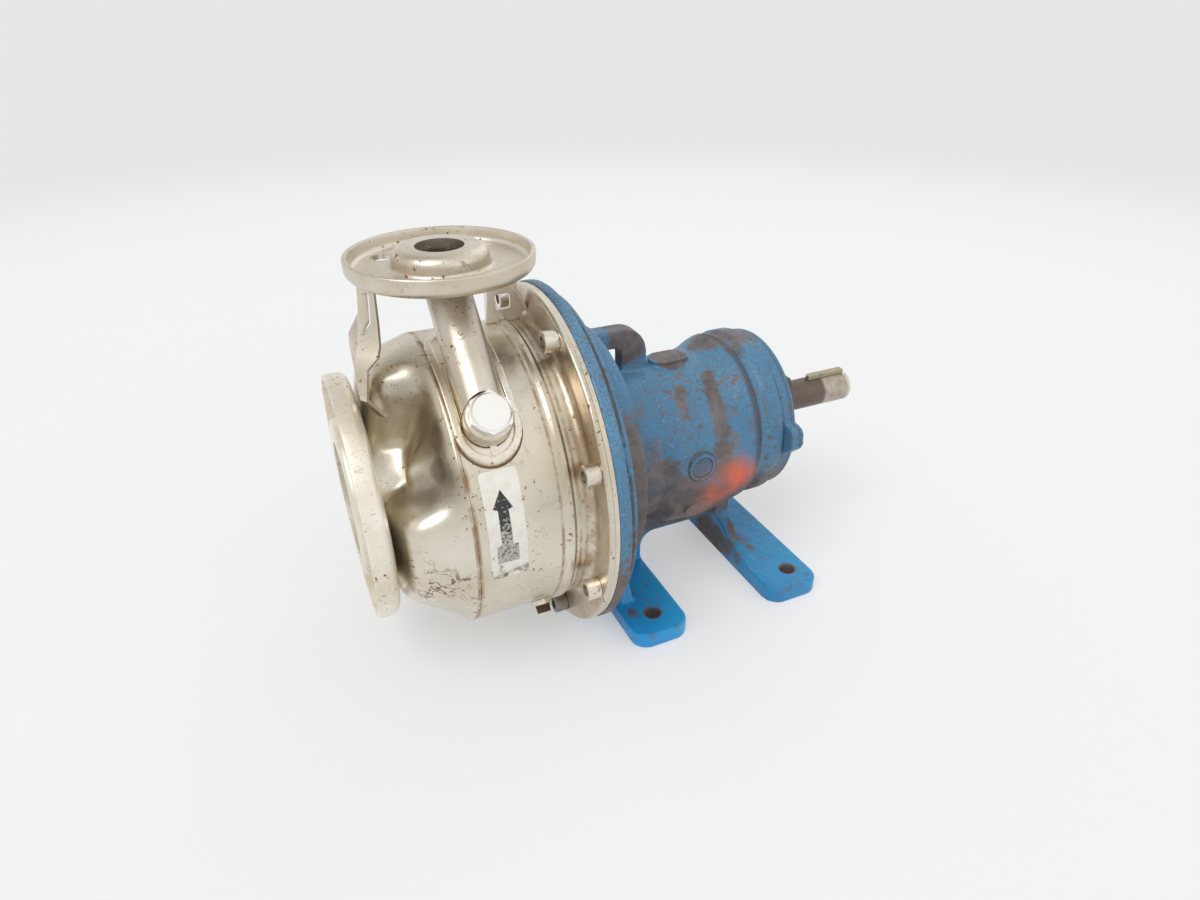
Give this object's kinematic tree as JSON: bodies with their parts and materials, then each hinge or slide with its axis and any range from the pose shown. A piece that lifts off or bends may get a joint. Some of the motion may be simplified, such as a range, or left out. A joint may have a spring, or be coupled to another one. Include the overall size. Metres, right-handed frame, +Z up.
{
  "type": "frame-mounted centrifugal pump",
  "caption": "End-suction centrifugal pump: pressed stainless casing with tangential discharge, closed impeller on a shaft in a cast bearing frame with feet.",
  "frame": {"origin": "on the table under the middle of the pump's length, straight below the shaft's axis", "axes": "+X along the shaft from the suction flange to the coupling end, +Z up, -Y is the side with the gauge plug"},
  "size_m": [0.4748, 0.2844, 0.3297],
  "materials": {
    "pressed_stainless": "pressed stainless sheet, dulled and stained",
    "bright_steel": "bright machined stainless",
    "dark_steel": "dark hardened steel",
    "rusty_steel": "bare steel with rust",
    "shaft_steel": "ground steel, dulled",
    "cast_steel": "cast stainless",
    "blue_paint": "blue paint on cast iron, rusted in places",
    "rubber": "black elastomer",
    "ceramic": "lapped ceramic seal face",
    "carbon": "carbon seal face in its holder",
    "gasket_paper": "gasket sheet"
  },
  "bodies": {
    "pump_body": {"bearing_frame": "blue_paint", "suction_flange": "pressed_stainless", "suction_tube": "pressed_stainless", "front_wear_ring": "bright_steel", "discharge_flange": "pressed_stainless", "discharge_tube": "pressed_stainless", "discharge_saddle": "pressed_stainless", "volute_casing": "pressed_stainless", "casing_barrel": "pressed_stainless", "gauge_boss": "pressed_stainless", "gauge_plug": "bright_steel", "drain_boss": "pressed_stainless", "drain_plug": "rusty_steel", "casing_screw_1": "bright_steel", "casing_screw_2": "bright_steel", "casing_screw_3": "bright_steel", "casing_screw_4": "bright_steel", "casing_screw_5": "bright_steel", "casing_screw_6": "bright_steel", "casing_screw_7": "bright_steel", "casing_screw_8": "bright_steel", "front_stay": "pressed_stainless", "rear_stay": "pressed_stainless", "seal_plate": "pressed_stainless", "casing_o_ring": "rubber", "seal_seat": "ceramic", "bearing_cover": "blue_paint", "cover_gasket": "gasket_paper", "cover_screw_1": "dark_steel", "cover_screw_2": "dark_steel", "cover_screw_3": "dark_steel", "cover_screw_4": "dark_steel", "inboard_outer_race": "bright_steel", "outboard_outer_race": "bright_steel", "inboard_lip_seal": "rubber", "outboard_lip_seal": "rubber"},
    "rotor": {"pump_shaft": "shaft_steel", "coupling_key": "rusty_steel", "impeller": "cast_steel", "impeller_shroud": "cast_steel", "impeller_key": "dark_steel", "impeller_washer": "bright_steel", "impeller_nut": "bright_steel", "shaft_sleeve": "bright_steel", "seal_head": "carbon", "seal_spring": "bright_steel", "slinger": "rubber", "snap_ring": "dark_steel", "inboard_inner_race": "bright_steel", "outboard_inner_race": "bright_steel"},
    "inboard_balls": {"inboard_ball_set": "bright_steel"},
    "outboard_balls": {"outboard_ball_set": "bright_steel"}
  },
  "joints": [
    {"name": "shaft_spin", "type": "hinge", "parent": "pump_body", "child": "rotor", "pos_m": [0, 0, 0.146], "axis": [-1, 0, 0], "continuous": true},
    {"name": "inboard_bearing_spin", "type": "hinge", "parent": "pump_body", "child": "inboard_balls", "pos_m": [0, 0, 0.146], "axis": [-1, 0, 0], "continuous": true},
    {"name": "outboard_bearing_spin", "type": "hinge", "parent": "pump_body", "child": "outboard_balls", "pos_m": [0, 0, 0.146], "axis": [-1, 0, 0], "continuous": true}
  ],
  "couplings": [
    {"joint": "inboard_bearing_spin", "follows": "shaft_spin", "ratio": 0.396},
    {"joint": "outboard_bearing_spin", "follows": "shaft_spin", "ratio": 0.384}
  ]
}
